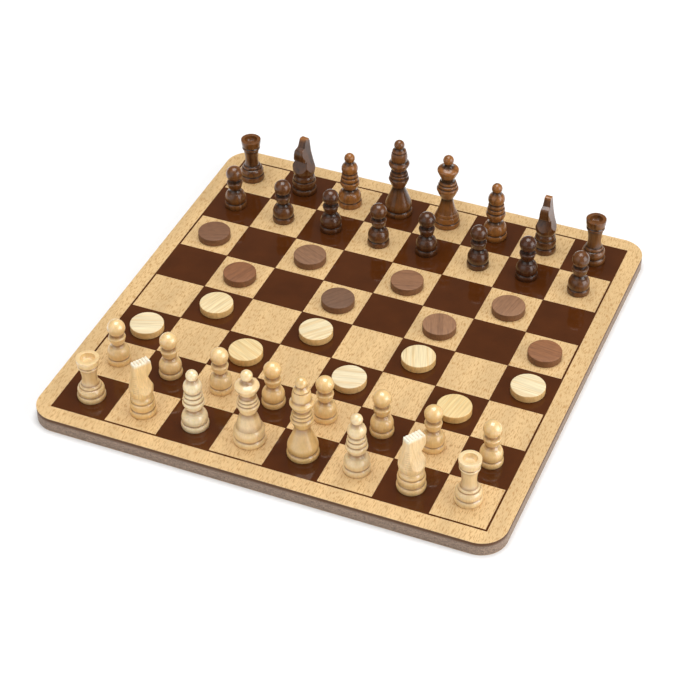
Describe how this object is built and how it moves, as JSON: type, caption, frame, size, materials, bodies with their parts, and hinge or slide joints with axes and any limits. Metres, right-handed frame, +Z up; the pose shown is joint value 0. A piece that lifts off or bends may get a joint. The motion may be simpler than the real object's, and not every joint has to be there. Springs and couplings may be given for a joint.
{
  "type": "chess and draughts set",
  "caption": "Flat one-piece board with printed squares, carrying turned and carved wooden chessmen and plain round draughtsmen that all lift off.",
  "frame": {"origin": "middle of the board's underside", "axes": "+X along the ranks from the a file to the h file, +Y from the light player's edge to the dark player's edge, +Z up"},
  "size_m": [0.33, 0.33, 0.0751],
  "materials": {
    "fibreboard": "sanded fibreboard, bare",
    "top_sheet_wood": "flecked beech-look sheet, satin",
    "back_sheet_wood": "plain sheet, matte",
    "dark_ink": "glossy screen-printed ink",
    "light_wood": "turned, clear satin lacquer",
    "light_carved_wood": "carved, clear satin lacquer",
    "light_man_wood": "turned, clear satin lacquer",
    "dark_wood": "turned, stained and gloss lacquered",
    "dark_carved_wood": "carved, stained and lacquered",
    "dark_man_wood": "turned, stained, satin"
  },
  "bodies": {
    "board": {"board_core": "fibreboard", "top_sheet": "top_sheet_wood", "back_sheet": "back_sheet_wood", "dark_print": "dark_ink"},
    "light_rook_left": {"light_rook_left": "light_wood"},
    "light_rook_right": {"light_rook_right": "light_wood"},
    "light_knight_left": {"light_knight_left_base": "light_wood", "light_knight_left_head": "light_carved_wood"},
    "light_knight_right": {"light_knight_right_base": "light_wood", "light_knight_right_head": "light_carved_wood"},
    "light_bishop_left": {"light_bishop_left": "light_wood"},
    "light_bishop_right": {"light_bishop_right": "light_wood"},
    "light_queen": {"light_queen": "light_wood"},
    "light_king": {"light_king": "light_wood"},
    "light_pawn_1": {"light_pawn_1": "light_wood"},
    "light_pawn_2": {"light_pawn_2": "light_wood"},
    "light_pawn_3": {"light_pawn_3": "light_wood"},
    "light_pawn_4": {"light_pawn_4": "light_wood"},
    "light_pawn_5": {"light_pawn_5": "light_wood"},
    "light_pawn_6": {"light_pawn_6": "light_wood"},
    "light_pawn_7": {"light_pawn_7": "light_wood"},
    "light_pawn_8": {"light_pawn_8": "light_wood"},
    "light_man_1": {"light_man_1": "light_man_wood"},
    "light_man_2": {"light_man_2": "light_man_wood"},
    "light_man_3": {"light_man_3": "light_man_wood"},
    "light_man_4": {"light_man_4": "light_man_wood"},
    "light_man_5": {"light_man_5": "light_man_wood"},
    "light_man_6": {"light_man_6": "light_man_wood"},
    "light_man_7": {"light_man_7": "light_man_wood"},
    "light_man_8": {"light_man_8": "light_man_wood"},
    "dark_rook_left": {"dark_rook_left": "dark_wood"},
    "dark_rook_right": {"dark_rook_right": "dark_wood"},
    "dark_knight_left": {"dark_knight_left_base": "dark_wood", "dark_knight_left_head": "dark_carved_wood"},
    "dark_knight_right": {"dark_knight_right_base": "dark_wood", "dark_knight_right_head": "dark_carved_wood"},
    "dark_bishop_left": {"dark_bishop_left": "dark_wood"},
    "dark_bishop_right": {"dark_bishop_right": "dark_wood"},
    "dark_queen": {"dark_queen": "dark_wood"},
    "dark_king": {"dark_king": "dark_wood"},
    "dark_pawn_1": {"dark_pawn_1": "dark_wood"},
    "dark_pawn_2": {"dark_pawn_2": "dark_wood"},
    "dark_pawn_3": {"dark_pawn_3": "dark_wood"},
    "dark_pawn_4": {"dark_pawn_4": "dark_wood"},
    "dark_pawn_5": {"dark_pawn_5": "dark_wood"},
    "dark_pawn_6": {"dark_pawn_6": "dark_wood"},
    "dark_pawn_7": {"dark_pawn_7": "dark_wood"},
    "dark_pawn_8": {"dark_pawn_8": "dark_wood"},
    "dark_man_1": {"dark_man_1": "dark_man_wood"},
    "dark_man_2": {"dark_man_2": "dark_man_wood"},
    "dark_man_3": {"dark_man_3": "dark_man_wood"},
    "dark_man_4": {"dark_man_4": "dark_man_wood"},
    "dark_man_5": {"dark_man_5": "dark_man_wood"},
    "dark_man_6": {"dark_man_6": "dark_man_wood"},
    "dark_man_7": {"dark_man_7": "dark_man_wood"},
    "dark_man_8": {"dark_man_8": "dark_man_wood"}
  },
  "joints": [
    {"name": "light_rook_left_lift", "type": "slide", "parent": "board", "child": "light_rook_left", "axis": [0, 0, 1], "range_m": [0, 0.08]},
    {"name": "light_rook_right_lift", "type": "slide", "parent": "board", "child": "light_rook_right", "axis": [0, 0, 1], "range_m": [0, 0.08]},
    {"name": "light_knight_left_lift", "type": "slide", "parent": "board", "child": "light_knight_left", "axis": [0, 0, 1], "range_m": [0, 0.08]},
    {"name": "light_knight_right_lift", "type": "slide", "parent": "board", "child": "light_knight_right", "axis": [0, 0, 1], "range_m": [0, 0.08]},
    {"name": "light_bishop_left_lift", "type": "slide", "parent": "board", "child": "light_bishop_left", "axis": [0, 0, 1], "range_m": [0, 0.08]},
    {"name": "light_bishop_right_lift", "type": "slide", "parent": "board", "child": "light_bishop_right", "axis": [0, 0, 1], "range_m": [0, 0.08]},
    {"name": "light_queen_lift", "type": "slide", "parent": "board", "child": "light_queen", "axis": [0, 0, 1], "range_m": [0, 0.08]},
    {"name": "light_king_lift", "type": "slide", "parent": "board", "child": "light_king", "axis": [0, 0, 1], "range_m": [0, 0.08]},
    {"name": "light_pawn_1_lift", "type": "slide", "parent": "board", "child": "light_pawn_1", "axis": [0, 0, 1], "range_m": [0, 0.08]},
    {"name": "light_pawn_2_lift", "type": "slide", "parent": "board", "child": "light_pawn_2", "axis": [0, 0, 1], "range_m": [0, 0.08]},
    {"name": "light_pawn_3_lift", "type": "slide", "parent": "board", "child": "light_pawn_3", "axis": [0, 0, 1], "range_m": [0, 0.08]},
    {"name": "light_pawn_4_lift", "type": "slide", "parent": "board", "child": "light_pawn_4", "axis": [0, 0, 1], "range_m": [0, 0.08]},
    {"name": "light_pawn_5_lift", "type": "slide", "parent": "board", "child": "light_pawn_5", "axis": [0, 0, 1], "range_m": [0, 0.08]},
    {"name": "light_pawn_6_lift", "type": "slide", "parent": "board", "child": "light_pawn_6", "axis": [0, 0, 1], "range_m": [0, 0.08]},
    {"name": "light_pawn_7_lift", "type": "slide", "parent": "board", "child": "light_pawn_7", "axis": [0, 0, 1], "range_m": [0, 0.08]},
    {"name": "light_pawn_8_lift", "type": "slide", "parent": "board", "child": "light_pawn_8", "axis": [0, 0, 1], "range_m": [0, 0.08]},
    {"name": "light_man_1_lift", "type": "slide", "parent": "board", "child": "light_man_1", "axis": [0, 0, 1], "range_m": [0, 0.08]},
    {"name": "light_man_2_lift", "type": "slide", "parent": "board", "child": "light_man_2", "axis": [0, 0, 1], "range_m": [0, 0.08]},
    {"name": "light_man_3_lift", "type": "slide", "parent": "board", "child": "light_man_3", "axis": [0, 0, 1], "range_m": [0, 0.08]},
    {"name": "light_man_4_lift", "type": "slide", "parent": "board", "child": "light_man_4", "axis": [0, 0, 1], "range_m": [0, 0.08]},
    {"name": "light_man_5_lift", "type": "slide", "parent": "board", "child": "light_man_5", "axis": [0, 0, 1], "range_m": [0, 0.08]},
    {"name": "light_man_6_lift", "type": "slide", "parent": "board", "child": "light_man_6", "axis": [0, 0, 1], "range_m": [0, 0.08]},
    {"name": "light_man_7_lift", "type": "slide", "parent": "board", "child": "light_man_7", "axis": [0, 0, 1], "range_m": [0, 0.08]},
    {"name": "light_man_8_lift", "type": "slide", "parent": "board", "child": "light_man_8", "axis": [0, 0, 1], "range_m": [0, 0.08]},
    {"name": "dark_rook_left_lift", "type": "slide", "parent": "board", "child": "dark_rook_left", "axis": [0, 0, 1], "range_m": [0, 0.08]},
    {"name": "dark_rook_right_lift", "type": "slide", "parent": "board", "child": "dark_rook_right", "axis": [0, 0, 1], "range_m": [0, 0.08]},
    {"name": "dark_knight_left_lift", "type": "slide", "parent": "board", "child": "dark_knight_left", "axis": [0, 0, 1], "range_m": [0, 0.08]},
    {"name": "dark_knight_right_lift", "type": "slide", "parent": "board", "child": "dark_knight_right", "axis": [0, 0, 1], "range_m": [0, 0.08]},
    {"name": "dark_bishop_left_lift", "type": "slide", "parent": "board", "child": "dark_bishop_left", "axis": [0, 0, 1], "range_m": [0, 0.08]},
    {"name": "dark_bishop_right_lift", "type": "slide", "parent": "board", "child": "dark_bishop_right", "axis": [0, 0, 1], "range_m": [0, 0.08]},
    {"name": "dark_queen_lift", "type": "slide", "parent": "board", "child": "dark_queen", "axis": [0, 0, 1], "range_m": [0, 0.08]},
    {"name": "dark_king_lift", "type": "slide", "parent": "board", "child": "dark_king", "axis": [0, 0, 1], "range_m": [0, 0.08]},
    {"name": "dark_pawn_1_lift", "type": "slide", "parent": "board", "child": "dark_pawn_1", "axis": [0, 0, 1], "range_m": [0, 0.08]},
    {"name": "dark_pawn_2_lift", "type": "slide", "parent": "board", "child": "dark_pawn_2", "axis": [0, 0, 1], "range_m": [0, 0.08]},
    {"name": "dark_pawn_3_lift", "type": "slide", "parent": "board", "child": "dark_pawn_3", "axis": [0, 0, 1], "range_m": [0, 0.08]},
    {"name": "dark_pawn_4_lift", "type": "slide", "parent": "board", "child": "dark_pawn_4", "axis": [0, 0, 1], "range_m": [0, 0.08]},
    {"name": "dark_pawn_5_lift", "type": "slide", "parent": "board", "child": "dark_pawn_5", "axis": [0, 0, 1], "range_m": [0, 0.08]},
    {"name": "dark_pawn_6_lift", "type": "slide", "parent": "board", "child": "dark_pawn_6", "axis": [0, 0, 1], "range_m": [0, 0.08]},
    {"name": "dark_pawn_7_lift", "type": "slide", "parent": "board", "child": "dark_pawn_7", "axis": [0, 0, 1], "range_m": [0, 0.08]},
    {"name": "dark_pawn_8_lift", "type": "slide", "parent": "board", "child": "dark_pawn_8", "axis": [0, 0, 1], "range_m": [0, 0.08]},
    {"name": "dark_man_1_lift", "type": "slide", "parent": "board", "child": "dark_man_1", "axis": [0, 0, 1], "range_m": [0, 0.08]},
    {"name": "dark_man_2_lift", "type": "slide", "parent": "board", "child": "dark_man_2", "axis": [0, 0, 1], "range_m": [0, 0.08]},
    {"name": "dark_man_3_lift", "type": "slide", "parent": "board", "child": "dark_man_3", "axis": [0, 0, 1], "range_m": [0, 0.08]},
    {"name": "dark_man_4_lift", "type": "slide", "parent": "board", "child": "dark_man_4", "axis": [0, 0, 1], "range_m": [0, 0.08]},
    {"name": "dark_man_5_lift", "type": "slide", "parent": "board", "child": "dark_man_5", "axis": [0, 0, 1], "range_m": [0, 0.08]},
    {"name": "dark_man_6_lift", "type": "slide", "parent": "board", "child": "dark_man_6", "axis": [0, 0, 1], "range_m": [0, 0.08]},
    {"name": "dark_man_7_lift", "type": "slide", "parent": "board", "child": "dark_man_7", "axis": [0, 0, 1], "range_m": [0, 0.08]},
    {"name": "dark_man_8_lift", "type": "slide", "parent": "board", "child": "dark_man_8", "axis": [0, 0, 1], "range_m": [0, 0.08]}
  ]
}
